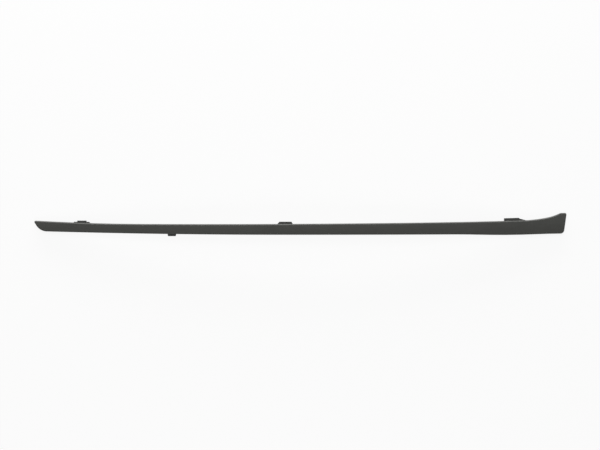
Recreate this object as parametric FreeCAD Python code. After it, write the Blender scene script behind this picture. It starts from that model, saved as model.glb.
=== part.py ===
import FreeCAD, Part
import math
import os

# Bumper trim strip: one moulded strip lying on its back with the face up.
# X runs along the strip, Y across it, Z out of the face. All sizes are in millimetres.

# Section
DEPTH = 11.0          # from the rear rim to the face
SKIN = 2.5            # thickness of the face
WALL = 2.0            # thickness of the flanges and end walls
EDGE_R = 2.4          # rounding where the face meets the flanges
BOW_R = 6000.0        # the face follows the bumper, seen from above the car
CROWN_DROP = 3.0      # the face is rounded across, and falls this far to the flare's upper corner
REST_RUN = 40.0       # the rim is trimmed flat over this length at each end
JOIN_GAP = 0.005      # faces nearer than this count as one when solids are cut or joined

# Outline, with Y = 0 on the straight part of the lower edge. A distance from an end is
# measured along X, so that the ends keep their form on a longer or shorter strip.
LENGTH = 1203.0       # between the sharp corners of the outline, 1200 over the rounded ends
HEIGHT = 23.0         # at the slimmest part
LEFT_TOP = 247.5      # from this distance from the left end the upper edge rises to the tip
LEFT_TOP_RISE = 6.6
TOP_STRAIGHT = 8.0    # straight run of the upper edge
LEFT_LOW_X = -48.0    # the lower edge rises from here to the left heel
LEFT_LOW_RISE = 5.9
LEFT_SLANT = 15.6     # how far the heel lies inside the left tip
FLARE_FOOT = 301.5    # distances of the points of the flare from the right end, and their rise
FLARE_FOOT_RISE = 3.7
FLARE_START = 101.0
FLARE_START_RISE = 7.3
FLARE_TURN = 46.0
FLARE_TURN_RISE = 13.0
FLARE_CREST = 14.0
FLARE_RISE = 24.0
CREST_DROP = 0.3      # how far the crest lies below the upper right corner
LIP_START = 256.5     # from this distance from the right end the lower edge sinks a little
LIP_DROP = 1.7
LIP_RUN = 117.0       # length over which it sinks, half of the fall being at half of this
TOE_TURN = 70.0       # distance of the edge's last turn from the right end
TOE_TURN_DROP = 0.5
TOE_RISE = 0.6        # the lower edge at the right end
TOE_SLANT = 6.6       # how far the toe lies inside the upper right corner
TIP_SOFT = 0.2        # how much blunter the left tip is than the sharpest that the section allows
HEEL_R = 28.0         # roundings of the other corners, each at least that of the face edge
CREST_R = 10.0
CORNER_R = 3.2
TOE_R = 8.5

# Tabs that slip behind the bumper skin, on the outside of the flanges
TAB_T = 2.0           # plate thickness
TAB_SET = 1.0         # distance of the plate from the rear rim
TAB_ROOT = 1.4        # how far the plate runs into the flange
TAB_CORNER_R = 0.8
TAB_RISE = 5.1        # height over the edge of the strip
TAB_LEAN = 3.5        # how far the sloping right ends run out
LEFT_TAB_END = 109.5  # distance of this tab's middle from the left end
LEFT_TAB_WIDTH = 21.0
LEFT_TAB_STEP = 2.3   # height of the low shoulders beside this tab
LEFT_TAB_SHOULDER = 8.0
LEFT_TAB_HEEL = 6.0   # length of the right shoulder
MID_TAB_X = -32.5
MID_TAB_WIDTH = 27.0
MID_TAB_FOOT = 6.5    # slope of its left end
RIGHT_TAB_END = 125.0 # distance from the right end
RIGHT_TAB_WIDTH = 33.0
RIGHT_TAB_RISE = 6.2
RIGHT_TAB_STEP = 1.8  # the fall at its right end
RIGHT_TAB_BEVEL = 3.0
RIGHT_TAB_FOOT = 18.0 # where it has run out along the edge
LOW_TAB_END = 313.3   # distance from the left end
LOW_TAB_WIDTH = 17.4
LOW_TAB_LEAN = 1.2

# Ribs across the hollow back, evenly spaced on both sides of the middle
RIB_T = 1.5
RIB_PITCH = 80.0      # about this far apart, as the length allows
RIB_END = 81.5        # distance of the last rib from the end of the strip
RIB_SET = 2.0         # how far the ribs stay inside the rim

# Snap hooks, in pairs midway between ribs, pressed through slots in the bumper
HOOK_WIDTH = 12.0
HOOK_T = 1.8
HOOK_GAP = 3.6        # between the two legs
HOOK_OUT = 8.0        # beyond the rim
HOOK_GRIP = 3.2       # thickness of the bumper skin held between rim and barb
HOOK_BARB = 1.2
HOOK_NOSE = 1.2       # height of the barb before its lead-in starts
HOOK_TIP = 1.0        # thickness of the tip
HOOK_FOOT = 1.2       # thickening at the root

# Locating pins on shouldered bosses, midway between ribs
PIN_D = 6.0
PIN_OUT = 6.0         # beyond the rim
PIN_CHAMFER = 0.8
BOSS_D = 11.0
BOSS_SET = 1.0        # how far the shoulder stays inside the rim

END_X = LENGTH / 2
LEFT_TOP_X = LEFT_TOP - END_X
LEFT_TAB_X = LEFT_TAB_END - END_X
RIGHT_TAB_X = END_X - RIGHT_TAB_END
LOW_TAB_X = LOW_TAB_END - END_X
LIP_X = END_X - LIP_START
SIDE_SPACES = int((END_X - RIB_END) / RIB_PITCH)  # between ribs, on each side of the middle one
RIB_SPACE = 2 * (END_X - RIB_END) / (2 * SIDE_SPACES + 1)
PIN_X = RIB_SPACE * (SIDE_SPACES - 1)
TIP_R = max(EDGE_R, WALL) + TIP_SOFT
FACE_Z = BOW_R - math.sqrt((BOW_R - DEPTH) ** 2 - (END_X - REST_RUN) ** 2)
TOP_Y = HEIGHT + FLARE_RISE
MID_Y = HEIGHT / 2
CROWN_R = ((TOP_Y - MID_Y) ** 2 + CROWN_DROP ** 2) / (2 * CROWN_DROP)
UP = FreeCAD.Vector(0, 0, 1)
BOW_CENTRE = FreeCAD.Vector(0, 0, FACE_Z - BOW_R)
BOW_AXIS = FreeCAD.Vector(0, 1, 0)


def point(x, y, z=0.0):
    return FreeCAD.Vector(x, y, z)


def rim_z(x, above=0.0):
    """Height of the bowed rear rim at x, or of a surface parallel to it above the rim."""
    return FACE_Z - BOW_R + math.sqrt((BOW_R - DEPTH + above) ** 2 - x ** 2)


def tangent_arcs(start, heading, ends):
    """Arcs from start through the end points, each tangent to the one before it."""
    edges = []
    for end in ends:
        chord = end - start
        half_turn = math.atan2(chord.y, chord.x) - heading
        reach = chord.Length / 2 / math.cos(half_turn / 2)
        aim = heading + half_turn / 2
        middle = start + point(reach * math.cos(aim), reach * math.sin(aim))
        edges.append(Part.Arc(start, middle, end).toBSpline().toShape())
        heading += 2 * half_turn
        start = end
    return edges


def left_arc(x, y, end):
    """Arc that leaves the straight part of an edge at x and rises to the left end."""
    run = x - end.x
    half_turn = math.atan2(end.y - y, run)
    reach = math.hypot(run, end.y - y) / 2 / math.cos(half_turn / 2)
    aim = half_turn / 2
    middle = point(x - reach * math.cos(aim), y + reach * math.sin(aim))
    return Part.Arc(point(x, y), middle, end).toBSpline().toShape()


TIP = point(-END_X, HEIGHT + LEFT_TOP_RISE)
HEEL = point(-END_X + LEFT_SLANT, LEFT_LOW_RISE)
CREST = point(END_X - FLARE_CREST, TOP_Y - CREST_DROP)
CORNER = point(END_X, TOP_Y)
TOE = point(END_X - TOE_SLANT, TOE_RISE)

flare = [
    point(END_X - FLARE_FOOT, HEIGHT + FLARE_FOOT_RISE),
    point(END_X - FLARE_START, HEIGHT + FLARE_START_RISE),
    point(END_X - FLARE_TURN, HEIGHT + FLARE_TURN_RISE),
    CREST,
]
lip = [
    point(LIP_X + LIP_RUN / 2, -LIP_DROP / 2),
    point(LIP_X + LIP_RUN, -LIP_DROP),
    point(END_X - TOE_TURN, -TOE_TURN_DROP),
    TOE,
]
upper_edge = [left_arc(LEFT_TOP_X, HEIGHT, TIP)]
upper_edge.append(Part.makeLine(point(LEFT_TOP_X, HEIGHT), point(LEFT_TOP_X + TOP_STRAIGHT, HEIGHT)))
upper_edge += tangent_arcs(point(LEFT_TOP_X + TOP_STRAIGHT, HEIGHT), 0.0, flare)
lower_edge = [left_arc(LEFT_LOW_X, 0.0, HEEL)]
lower_edge.append(Part.makeLine(point(LEFT_LOW_X, 0), point(LIP_X, 0)))
lower_edge += tangent_arcs(point(LIP_X, 0), 0.0, lip)
ends = [Part.makeLine(TIP, HEEL), Part.makeLine(TOE, CORNER), Part.makeLine(CORNER, CREST)]
UPPER = Part.Wire(upper_edge)
LOWER = Part.Wire(lower_edge)


def edge_y(wire, x):
    """Where the upper or lower edge of the strip crosses the station x."""
    station = Part.makeLine(point(x, -LENGTH), point(x, LENGTH))
    return wire.distToShape(station)[1][0][0].y


def centre_y(x):
    return (edge_y(UPPER, x) + edge_y(LOWER, x)) / 2


def corner_edge(shape, corner):
    """The upright edge of an extruded shape that stands on a corner of its outline."""
    def on_corner(vertex):
        return math.hypot(vertex.X - corner.x, vertex.Y - corner.y) < 0.001
    return [edge for edge in shape.Edges if all(on_corner(vertex) for vertex in edge.Vertexes)]


def bowed_slab(above_rim, crown_r, below_rim):
    """Slab that follows the bow, crowned on its front, between two depths."""
    reach = TOP_Y
    drop = crown_r - math.sqrt(crown_r ** 2 - reach ** 2)
    front = FACE_Z - DEPTH + above_rim
    rear = FACE_Z - DEPTH - below_rim
    low = point(0, MID_Y - reach, front - drop)
    high = point(0, MID_Y + reach, front - drop)
    crown = Part.Arc(low, point(0, MID_Y, front), high).toBSpline().toShape()
    rest = Part.makePolygon([high, point(0, high.y, rear), point(0, low.y, rear), low])
    section = Part.Face(Part.Wire([crown] + rest.Edges))
    half = math.degrees(math.asin(LENGTH * 0.55 / BOW_R))
    section.rotate(BOW_CENTRE, BOW_AXIS, -half)
    return section.revolve(BOW_CENTRE, BOW_AXIS, 2 * half)


def outline_prism():
    """The rounded outline, extruded through the whole height."""
    outline = Part.Face(Part.Wire(Part.__sortEdges__(upper_edge + lower_edge + ends)))
    outline.translate(point(0, 0, -FACE_Z))
    prism = outline.extrude(UP * FACE_Z * 3)
    roundings = [(TIP, TIP_R), (HEEL, HEEL_R), (CREST, CREST_R), (CORNER, CORNER_R), (TOE, TOE_R)]
    for corner, radius in roundings:
        prism = prism.makeFillet(radius, corner_edge(prism, corner))
    return prism


def inset(face, distance):
    """The outline of a face moved inward, its edges being lines and arcs tangent to each other."""
    moved = []
    for edge in face.OuterWire.Edges:
        first, last = edge.ParameterRange
        places = []
        for parameter in (first, (first + last) / 2, last):
            place = edge.valueAt(parameter)
            inward = edge.tangentAt(parameter).cross(UP)
            if not face.isInside(place + inward * 0.1, 0.001, False):
                inward = -inward
            places.append(place + inward * distance)
        start, middle, end = places
        if edge.Curve.TypeId == "Part::GeomLine":
            moved.append(Part.makeLine(start, end))
        else:
            moved.append(Part.Arc(start, middle, end).toBSpline().toShape())
    return Part.Face(Part.Wire(Part.__sortEdges__(moved)))


def tab_plate(x, corners, rounded):
    """Flat plate through corners given from its station, set parallel to the rim there."""
    outline = [point(dx, y) for dx, y in corners]
    face = Part.Face(Part.makePolygon(outline + outline[:1]))
    plate = face.extrude(UP * TAB_T)
    for corner in rounded:
        plate = plate.makeFillet(TAB_CORNER_R, corner_edge(plate, outline[corner]))
    plate.translate(point(0, 0, FACE_Z - DEPTH + TAB_SET))
    plate.rotate(BOW_CENTRE, BOW_AXIS, math.degrees(math.asin(x / BOW_R)))
    return plate


def left_tab():
    half = LEFT_TAB_WIDTH / 2
    edge = edge_y(UPPER, LEFT_TAB_X)
    low = edge_y(UPPER, LEFT_TAB_X + half + LEFT_TAB_HEEL) - TAB_ROOT
    step = edge + LEFT_TAB_STEP
    top = edge + TAB_RISE
    out = half + LEFT_TAB_SHOULDER
    heel = half + LEFT_TAB_HEEL
    corners = [(-out, low), (-out, step), (-half, step), (-half, top)]
    corners += [(half, top), (half, step), (heel, step), (heel + TAB_LEAN, low)]
    return tab_plate(LEFT_TAB_X, corners, [1, 3, 4, 6])


def mid_tab():
    half = MID_TAB_WIDTH / 2
    low = edge_y(UPPER, MID_TAB_X - half - MID_TAB_FOOT) - TAB_ROOT
    top = edge_y(UPPER, MID_TAB_X) + TAB_RISE
    corners = [(-half - MID_TAB_FOOT, low), (-half, top), (half, top), (half + TAB_LEAN, low)]
    return tab_plate(MID_TAB_X, corners, [1, 2])


def right_tab():
    half = RIGHT_TAB_WIDTH / 2
    low = edge_y(UPPER, RIGHT_TAB_X - half) - TAB_ROOT
    left_top = edge_y(UPPER, RIGHT_TAB_X - half) + RIGHT_TAB_RISE
    right_top = edge_y(UPPER, RIGHT_TAB_X + half) + RIGHT_TAB_RISE
    foot = half + RIGHT_TAB_FOOT
    end = edge_y(UPPER, RIGHT_TAB_X + foot)
    corners = [(-half, low), (-half, left_top), (half, right_top)]
    corners += [(half + RIGHT_TAB_BEVEL, right_top - RIGHT_TAB_STEP), (foot, end)]
    corners += [(foot, end - TAB_ROOT), (half, low)]
    return tab_plate(RIGHT_TAB_X, corners, [1, 2])


def low_tab():
    half = LOW_TAB_WIDTH / 2
    edge = edge_y(LOWER, LOW_TAB_X)
    low = edge - TAB_RISE
    base = edge + TAB_ROOT
    corners = [(-half - LOW_TAB_LEAN, base), (-half, low), (half, low), (half + LOW_TAB_LEAN, base)]
    return tab_plate(LOW_TAB_X, corners, [1, 2])


def rib_stations():
    """Places of the ribs, the middle of the strip lying midway between two of them."""
    return [RIB_SPACE * (i + 0.5) for i in range(-SIDE_SPACES - 1, SIDE_SPACES + 1)]


def hook_stations():
    """Places midway between ribs, in every second space from the middle as far as the pins."""
    last = (SIDE_SPACES - 2) // 2 * 2
    return [RIB_SPACE * i for i in range(-last, last + 1, 2)]


def rib(x):
    """The space a cross rib takes in the hollow."""
    foot = rim_z(x, RIB_SET)
    return Part.makeBox(RIB_T, LENGTH / 4, FACE_Z, point(x - RIB_T / 2, -LENGTH / 8, foot))


def boss(x):
    return Part.makeCylinder(BOSS_D / 2, FACE_Z, point(x, centre_y(x), rim_z(x, BOSS_SET)))


def pin(x):
    """Locating pin with a chamfered tip, rooted in the skin over its boss."""
    tip = rim_z(x) - PIN_OUT
    length = rim_z(x, DEPTH - SKIN / 2) - tip
    body = Part.makeCylinder(PIN_D / 2, length, point(x, centre_y(x), tip))
    tip_edges = [edge for edge in body.Edges if edge.BoundBox.ZMax < tip + 0.01]
    return body.makeChamfer(PIN_CHAMFER, tip_edges)


def hook(x, side):
    """One leg of a snap hook pair, its barb facing away from the other leg."""
    root = rim_z(x, DEPTH - SKIN / 2)
    skin = rim_z(x, DEPTH - SKIN)
    catch = rim_z(x) - HOOK_GRIP
    tip = rim_z(x) - HOOK_OUT
    inner = HOOK_GAP / 2
    outer = inner + HOOK_T
    profile = [
        (inner, root),
        (inner, tip),
        (inner + HOOK_TIP, tip),
        (outer + HOOK_BARB, catch - HOOK_NOSE),
        (outer + HOOK_BARB, catch),
        (outer, catch),
        (outer, skin - HOOK_FOOT),
        (outer + HOOK_FOOT, skin),
        (outer + HOOK_FOOT, root),
    ]
    middle = centre_y(x)
    outline = [point(x - HOOK_WIDTH / 2, middle + side * y, z) for y, z in profile]
    face = Part.Face(Part.makePolygon(outline + outline[:1]))
    return face.extrude(point(HOOK_WIDTH, 0, 0))


def trim_strip():
    prism = outline_prism()
    block = prism.common([bowed_slab(DEPTH, CROWN_R, 0.0)], JOIN_GAP)
    floor = Part.makeBox(LENGTH * 1.2, LENGTH / 2, FACE_Z, point(-LENGTH * 0.6, -LENGTH / 4, -FACE_Z))
    block = block.cut(floor)
    front = max(block.Faces, key=lambda face: face.Area * (face.normalAt(0, 0).z > 0.5))
    block = block.makeFillet(EDGE_R, front.Edges)

    base = min(prism.Faces, key=lambda face: face.CenterOfMass.z)
    hollow = inset(base, WALL).extrude(UP * FACE_Z * 3)
    hollow = hollow.common([bowed_slab(DEPTH - SKIN, CROWN_R - SKIN, FACE_Z * 2)], JOIN_GAP)
    hollow = hollow.cut([rib(x) for x in rib_stations()])
    hollow = hollow.cut([boss(x) for x in (-PIN_X, PIN_X)])

    strip = block.fuse([left_tab(), mid_tab(), right_tab(), low_tab()]).cut(hollow)
    legs = [hook(x, side) for x in hook_stations() for side in (-1, 1)]
    strip = strip.fuse(legs + [pin(x) for x in (-PIN_X, PIN_X)]).removeSplitter()
    box = strip.optimalBoundingBox(False)
    strip.translate(point(-box.Center.x, -box.Center.y, -box.ZMin))
    return strip


os.makedirs("parts", exist_ok=True)
strip = trim_strip()
solid = strip.Solids[0]
solid.exportStep("parts/trim_strip.step")
print(len(strip.Solids), strip.isValid(), strip.optimalBoundingBox(False), strip.Volume)
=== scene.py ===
import bpy
import math
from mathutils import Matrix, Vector


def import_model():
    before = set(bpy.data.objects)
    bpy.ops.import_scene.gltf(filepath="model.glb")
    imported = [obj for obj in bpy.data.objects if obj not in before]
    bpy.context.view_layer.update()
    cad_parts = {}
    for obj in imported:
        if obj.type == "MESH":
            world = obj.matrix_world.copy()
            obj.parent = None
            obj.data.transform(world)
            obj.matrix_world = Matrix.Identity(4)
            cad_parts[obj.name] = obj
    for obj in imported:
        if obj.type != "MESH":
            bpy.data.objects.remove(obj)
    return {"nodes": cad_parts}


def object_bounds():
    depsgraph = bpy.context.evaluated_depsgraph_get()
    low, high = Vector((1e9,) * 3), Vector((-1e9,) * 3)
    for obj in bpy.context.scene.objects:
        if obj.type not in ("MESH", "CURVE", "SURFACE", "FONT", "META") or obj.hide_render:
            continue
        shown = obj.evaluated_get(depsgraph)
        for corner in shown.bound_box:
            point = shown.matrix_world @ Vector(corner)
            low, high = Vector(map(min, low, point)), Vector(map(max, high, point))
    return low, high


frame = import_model()
cad_box = [list(corner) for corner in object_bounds()]
scene = bpy.context.scene
scene.view_settings.view_transform = "Standard"

# The strip's section and place, in metres, as in the solid
BOW_R = 6.0
BOW_X = -0.00095
CROWN_R = 0.2115
CROWN_Y = -0.0100
FACE_Z = cad_box[1][2]
EDGE_R = 0.0024
SKIN = 0.0025
SEAM_SET = 0.0006
SEAM_Z = FACE_Z - EDGE_R - SEAM_SET

# Round marks that the ejector pins leave behind the face
MARK_R = 0.0030
MARK_SPACE = 0.040
MARK_Y = -0.0090

# Colours of the moulding, linear, and its refractive index
GRAINED = (0.045, 0.0458, 0.0412)
SMOOTH = (0.0560, 0.0566, 0.0530)
# Lighter colour of rubbed edges, also used as a painted highlight on the rounding
RUBBED_AND_RIM_HIGHLIGHT = (0.090, 0.0905, 0.086)
PLASTIC_IOR = 1.49

# Grain of the moulding in cells per metre, and reach of the rubbing and depth of the relief in metres
PEBBLES = 1050.0
GRIT = 2600.0
SPECKS = 1900.0
RUB_R = 0.0009
RELIEF_DEPTH = 0.00012

# Floor: its grey, its size in metres, and how far the camera sees it as plain white
FLOOR_GREY = 0.94
FLOOR_SIZE = 40
FLOOR_WHITE = 0.88

# Camera, at the photograph's angle
TILT = math.radians(4.0)
DISTANCE = 3.7637
TARGET = Vector((-0.00095, -0.0019, 0.0))
LENS = 100.0


class Net:
    """Lays out the nodes of one material."""

    def __init__(self, name):
        self.material = bpy.data.materials.new(name)
        self.material.use_nodes = True
        self.tree = self.material.node_tree
        self.shader = self.tree.nodes["Principled BSDF"]
        self.output = self.tree.nodes["Material Output"]

    def put(self, socket, value):
        if isinstance(value, bpy.types.NodeSocket):
            self.tree.links.new(value, socket)
        else:
            socket.default_value = value

    def add(self, kind, inputs=None, **settings):
        made = self.tree.nodes.new("ShaderNode" + kind)
        for name, value in settings.items():
            setattr(made, name, value)
        for name, value in (inputs or {}).items():
            self.put(made.inputs[name], value)
        return made

    def math(self, operation, *values):
        made = self.add("Math", dict(enumerate(values)), operation=operation)
        return made.outputs[0]

    def step(self, value, low, high, from_out=0.0, to_out=1.0):
        """Smooth step of a value from low to high."""
        inputs = {"Value": value, "From Min": low, "From Max": high}
        inputs.update({"To Min": from_out, "To Max": to_out})
        return self.add("MapRange", inputs, interpolation_type="SMOOTHSTEP").outputs["Result"]

    def mix(self, share, low, high):
        """Blend of two colours."""
        made = self.add("Mix", {0: share, 6: low, 7: high}, data_type="RGBA")
        return made.outputs[2]

    def scaled(self, place, stretch):
        return self.add("VectorMath", {0: place, 1: stretch}, operation="MULTIPLY").outputs[0]

    def noise(self, place, scale, detail=2.0, roughness=0.5):
        inputs = {"Vector": place, "Scale": scale, "Detail": detail, "Roughness": roughness}
        return self.add("TexNoise", inputs).outputs["Fac"]

    def cells(self, place, scale):
        inputs = {"Vector": place, "Scale": scale, "Smoothness": 0.4}
        return self.add("TexVoronoi", inputs, feature="SMOOTH_F1").outputs["Distance"]


def rgba(colour):
    return (*colour, 1.0)


def surface_masks(net, place):
    """Where a point lies: on the grained face, on its rounding, behind it, at the seam."""
    x, y, z = net.add("SeparateXYZ", {0: place}).outputs
    normal = net.add("NewGeometry").outputs["Normal"]
    facing = net.add("SeparateXYZ", {0: normal}).outputs["Z"]
    along = net.math("SUBTRACT", x, BOW_X)
    across = net.math("SUBTRACT", y, CROWN_Y)

    # Height above the floor with the bow and the crown taken out, so the whole face has FACE_Z
    level = net.math("MULTIPLY_ADD", net.math("MULTIPLY", along, along), 0.5 / BOW_R, z)
    level = net.math("MULTIPLY_ADD", net.math("MULTIPLY", across, across), 0.5 / CROWN_R, level)

    outward = net.step(facing, -0.35, -0.15)
    face = net.math("MULTIPLY", net.step(level, SEAM_Z - 0.0002, SEAM_Z + 0.0003), outward)
    rounding = net.math("MULTIPLY", net.step(facing, 0.97, 0.80), net.step(facing, 0.0, 0.30))
    seam_gap = net.math("ABSOLUTE", net.math("SUBTRACT", level, SEAM_Z))
    seam = net.math("MULTIPLY", net.step(seam_gap, 0.00022, 0.00008), net.step(facing, 0.4, 0.2))

    inner_skin = net.step(level, FACE_Z - SKIN - 0.001, FACE_Z - SKIN)
    behind = net.math("MULTIPLY", net.step(facing, -0.5, -0.8), inner_skin)
    station = net.math("PINGPONG", net.math("ADD", along, MARK_SPACE / 2), MARK_SPACE / 2)
    offset = net.math("SUBTRACT", y, MARK_Y)
    reach = net.math("MULTIPLY_ADD", station, station, net.math("MULTIPLY", offset, offset))
    mark = net.math("MULTIPLY", net.step(reach, (MARK_R * 1.04) ** 2, MARK_R ** 2), behind)
    return normal, face, net.math("MULTIPLY", rounding, face), seam, mark


def plastic():
    """Moulded plastic: a grained face and rounding, smooth tabs, flanges and back."""
    net = Net("moulded_plastic")
    place = net.add("TexCoord").outputs["Object"]
    normal, face, rounding, seam, mark = surface_masks(net, place)

    # Edges that hands and packing have rubbed, and a painted highlight along the rounding of the face
    bevel = net.add("Bevel", {"Radius": RUB_R}, samples=6)
    turn = net.add("VectorMath", {0: bevel.outputs[0], 1: normal}, operation="DOT_PRODUCT")
    edge = net.step(turn.outputs["Value"], 0.99, 0.86)
    patchy = net.step(net.noise(place, 55.0, 4.0, 0.6), 0.42, 0.68)
    rub_wear_and_rim_highlight = net.math("MULTIPLY", edge, net.math("MULTIPLY_ADD", patchy, 0.5, 0.12))
    # Painted highlight on the whole rounding of the face, partly handling wear
    handled_wear_and_rim_highlight = net.math("MULTIPLY", rounding, net.math("MULTIPLY_ADD", patchy, 0.2, 0.26))
    rub_wear_and_rim_highlight = net.math("MAXIMUM", rub_wear_and_rim_highlight, handled_wear_and_rim_highlight)

    # Etched grain: pebbles with finer grit on them
    pebbles = net.cells(place, PEBBLES)
    grit = net.noise(place, GRIT, 3.0, 0.6)
    grain = net.math("MULTIPLY_ADD", pebbles, 0.8, net.math("MULTIPLY", grit, 0.5))

    # Colour: cloudy, drawn out along the flow of the melt, with painted shade in the valleys of the
    # grain and lighter peaks
    clouds = net.noise(place, 16.0, 4.0, 0.55)
    flow = net.noise(net.scaled(place, (9.0, 150.0, 150.0)), 1.0, 4.0, 0.6)
    specks = net.noise(place, SPECKS, 2.0, 0.7)
    tone = net.math("MULTIPLY_ADD", clouds, 0.18, 0.91)
    tone = net.math("MULTIPLY", tone, net.math("MULTIPLY_ADD", flow, 0.16, 0.92))
    tone = net.math("MULTIPLY", tone, net.math("MULTIPLY_ADD", specks, 0.4, 0.80))
    # Painted shade: the grain's valleys darker and its peaks lighter, on the face only
    painted_valley_shade = net.step(grain, 0.30, 0.80, 0.86, 1.10)
    painted_valley_offset = net.math("SUBTRACT", painted_valley_shade, 1.0)
    tone = net.math("MULTIPLY", tone, net.math("MULTIPLY_ADD", face, painted_valley_offset, 1.0))
    tone = net.math("MULTIPLY_ADD", mark, 0.18, tone)
    colour = net.mix(face, rgba(SMOOTH), rgba(GRAINED))
    toned = net.add("VectorMath", {0: colour, "Scale": tone}, operation="SCALE").outputs[0]
    # Rubbed edges and the rounding take the lighter colour: wear together with painted highlight
    net.put(net.shader.inputs["Base Color"], net.mix(rub_wear_and_rim_highlight, toned, rgba(RUBBED_AND_RIM_HIGHLIGHT)))

    # Gloss
    gloss = net.math("MULTIPLY_ADD", net.noise(place, 40.0, 4.0, 0.6), 0.16, 0.40)
    gloss = net.math("MULTIPLY_ADD", face, 0.12, gloss)
    gloss = net.math("MULTIPLY_ADD", mark, -0.12, gloss)
    net.put(net.shader.inputs["Roughness"], gloss)
    net.shader.inputs["IOR"].default_value = PLASTIC_IOR

    # Relief: grain on the face, faint tool marks on the rest, the seam and the ejector marks
    tooling = net.noise(net.scaled(place, (90.0, 1700.0, 1700.0)), 1.0, 3.0, 0.6)
    relief = net.math("MULTIPLY", grain, net.math("MULTIPLY_ADD", face, 0.95, 0.05))
    relief = net.math("MULTIPLY_ADD", tooling, 0.12, relief)
    relief = net.math("ADD", relief, seam)
    relief = net.math("SUBTRACT", relief, mark)
    shape = {"Height": relief, "Normal": bevel.outputs[0]}
    bump = net.add("Bump", {"Strength": 0.7, "Distance": RELIEF_DEPTH, **shape})
    net.put(net.shader.inputs["Normal"], bump.outputs[0])
    return net.material


def floor_material():
    """Pale floor that the camera sees as near white, with the shadow kept."""
    net = Net("pale_floor")
    net.shader.inputs["Base Color"].default_value = (FLOOR_GREY, FLOOR_GREY, FLOOR_GREY, 1)
    net.shader.inputs["Roughness"].default_value = 0.9
    path = net.add("LightPath")
    seen = net.math("ADD", path.outputs["Is Camera Ray"], path.outputs["Is Glossy Ray"])
    seen = net.math("ADD", seen, path.outputs["Is Transmission Ray"])
    share = net.math("MULTIPLY", net.math("MINIMUM", seen, 1.0), FLOOR_WHITE)
    glow = net.add("Emission")
    blend = net.add("MixShader", {0: share, 1: net.shader.outputs[0], 2: glow.outputs[0]})
    net.put(net.output.inputs["Surface"], blend.outputs[0])
    return net.material


def floor():
    bpy.ops.mesh.primitive_plane_add(size=FLOOR_SIZE, location=(0, 0, 0))
    made = bpy.context.object
    made.name = "floor"
    made.data.materials.append(floor_material())


def world(strength):
    made = bpy.data.worlds.new("studio")
    scene.world = made
    made.use_nodes = True
    background = made.node_tree.nodes["Background"]
    background.inputs["Color"].default_value = (1, 1, 1, 1)
    background.inputs["Strength"].default_value = strength


def softbox(name, bearing, height, distance, size, power):
    """Area lamp aimed at the strip, placed by its bearing from +X and its height in degrees."""
    turn, rise = math.radians(bearing), math.radians(height)
    level = math.cos(rise)
    away = Vector((math.cos(turn) * level, math.sin(turn) * level, math.sin(rise)))
    data = bpy.data.lights.new(name, "AREA")
    data.shape = "RECTANGLE"
    data.size, data.size_y = size
    data.energy = power
    made = bpy.data.objects.new(name, data)
    scene.collection.objects.link(made)
    made.location = away * distance
    made.rotation_euler = away.to_track_quat("Z", "Y").to_euler()


def camera():
    lens = bpy.data.cameras.new("camera")
    lens.lens = LENS
    lens.sensor_width = 36.0
    lens.clip_end = 60.0
    made = bpy.data.objects.new("camera", lens)
    scene.collection.objects.link(made)
    made.location = TARGET + DISTANCE * Vector((0, math.sin(TILT), math.cos(TILT)))
    made.rotation_euler = (-TILT, 0, 0)
    scene.camera = made


finish = plastic()
for slot in frame["nodes"]["trim_strip"].material_slots:
    slot.material = finish
floor()
world(0.33)
softbox("overhead", 100, 56, 3.0, (2.4, 1.2), 23)
softbox("fill", 268, 34, 3.0, (2.4, 1.2), 19)
softbox("grazing", 92, 8.5, 2.6, (3.2, 0.45), 105)
camera()
